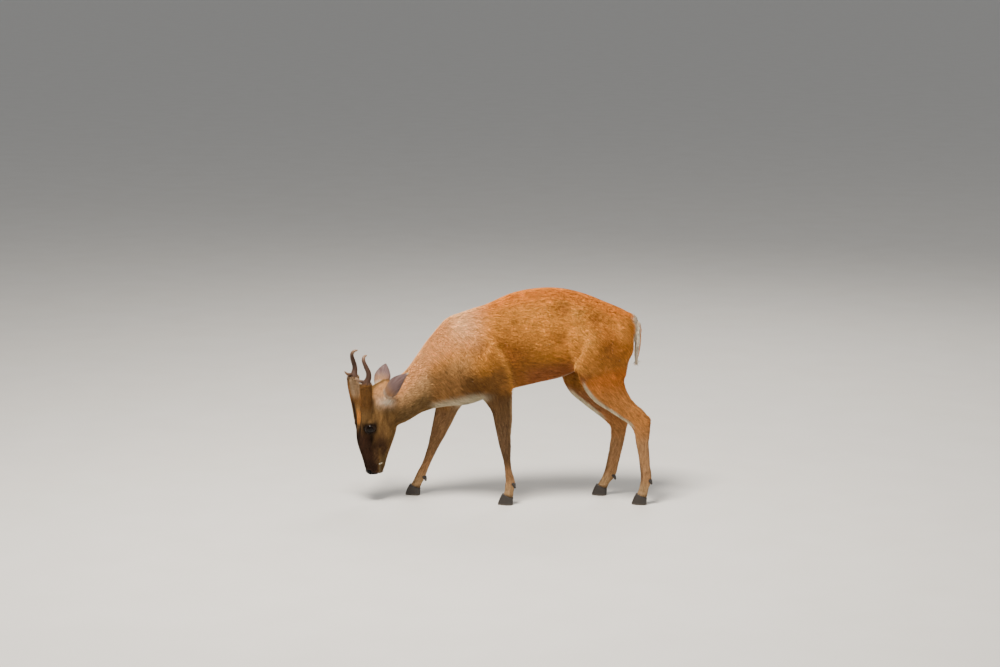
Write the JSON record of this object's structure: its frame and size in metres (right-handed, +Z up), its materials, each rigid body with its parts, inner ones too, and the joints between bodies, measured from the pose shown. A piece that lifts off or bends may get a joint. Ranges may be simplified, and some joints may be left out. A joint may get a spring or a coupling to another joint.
{
  "type": "muntjac",
  "caption": "A still, life-size muntjac buck with a short rufous coat, small antlers on long pedicels and a dark face, its head lowered to feed",
  "frame": {"origin": "on the floor, under the middle of the body's bounds", "axes": "+X from the nose to the tail, -Y the animal's left side, +Z up"},
  "size_m": [0.848, 0.2328, 0.5985],
  "materials": {
    "coat_torso": "short rufous coat",
    "coat_neck": "short fawn coat",
    "coat_head": "short olive-brown coat, darker down the face",
    "coat_tail": "rufous above, white fringe below",
    "coat_leg": "short rufous coat",
    "coat_shank": "short olive-brown coat",
    "ear": "thin dark coat",
    "antler": "bare antler, paler at the tips",
    "hoof": "dark horn",
    "eye": "wet, near black",
    "tusk": "ivory"
  },
  "bodies": {
    "root": {"head": "coat_head", "neck": "coat_neck", "torso": "coat_torso", "tail": "coat_tail", "left_fore_leg": "coat_leg", "left_fore_shank": "coat_shank", "right_fore_leg": "coat_leg", "right_fore_shank": "coat_shank", "left_hind_leg": "coat_leg", "left_hind_shank": "coat_shank", "right_hind_leg": "coat_leg", "right_hind_shank": "coat_shank", "left_eye": "eye", "left_tusk": "tusk", "left_ear": "ear", "left_antler_beam": "antler", "left_brow_tine": "antler", "right_eye": "eye", "right_tusk": "tusk", "right_ear": "ear", "right_antler_beam": "antler", "right_brow_tine": "antler", "left_fore_outer_hoof": "hoof", "left_fore_outer_dewclaw": "hoof", "left_fore_inner_hoof": "hoof", "left_fore_inner_dewclaw": "hoof", "right_fore_outer_hoof": "hoof", "right_fore_outer_dewclaw": "hoof", "right_fore_inner_hoof": "hoof", "right_fore_inner_dewclaw": "hoof", "left_hind_outer_hoof": "hoof", "left_hind_outer_dewclaw": "hoof", "left_hind_inner_hoof": "hoof", "left_hind_inner_dewclaw": "hoof", "right_hind_outer_hoof": "hoof", "right_hind_outer_dewclaw": "hoof", "right_hind_inner_hoof": "hoof", "right_hind_inner_dewclaw": "hoof"}
  },
  "joints": []
}
